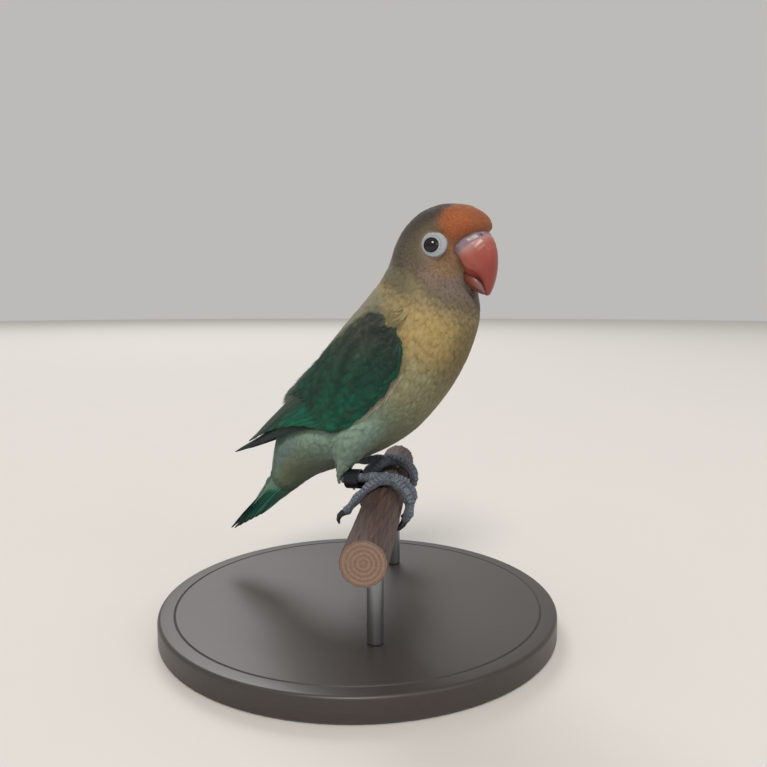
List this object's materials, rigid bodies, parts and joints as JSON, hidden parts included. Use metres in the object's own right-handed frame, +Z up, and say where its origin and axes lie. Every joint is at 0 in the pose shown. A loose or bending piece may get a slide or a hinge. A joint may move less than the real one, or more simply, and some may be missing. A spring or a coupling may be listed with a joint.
{
  "type": "lovebird",
  "caption": "Life-size still lovebird gripping a short length of round perch, held over a plain round base by two rods.",
  "frame": {"origin": "middle of the base's underside", "axes": "+Z up, +Y along the perch to the bird's left, the bird faces +X turned a little towards -Y"},
  "size_m": [0.132, 0.132, 0.1396],
  "materials": {
    "plumage": "matte feathers",
    "nape": "matte feathers",
    "hood": "matte feathers",
    "wing_green": "soft sheen feathers",
    "tail_green": "soft sheen feathers",
    "bill": "smooth horn",
    "bare_skin": "soft",
    "eye": "polished",
    "leg_skin": "scaly",
    "claw": "smooth horn",
    "band": "satin",
    "perch_wood": "worn and dark",
    "base_lacquer": "satin lacquer",
    "rod_steel": "brushed"
  },
  "bodies": {
    "root": {"torso": "plumage", "neck": "nape", "head": "hood", "bill_upper": "bill", "bill_lower": "bill", "eye_right": "eye", "eye_left": "eye", "eye_ring_right": "bare_skin", "eye_ring_left": "bare_skin", "wing_right": "wing_green", "wing_left": "wing_green", "tail": "tail_green", "thigh_right": "plumage", "thigh_left": "plumage", "foot_right": "leg_skin", "foot_left": "leg_skin", "claw_right_front_outer": "claw", "claw_right_front_inner": "claw", "claw_right_back_outer": "claw", "claw_right_back_inner": "claw", "claw_left_front_outer": "claw", "claw_left_front_inner": "claw", "claw_left_back_outer": "claw", "claw_left_back_inner": "claw", "leg_band": "band", "perch": "perch_wood", "stand_rod_1": "rod_steel", "stand_rod_2": "rod_steel", "stand_base": "base_lacquer"}
  },
  "joints": []
}
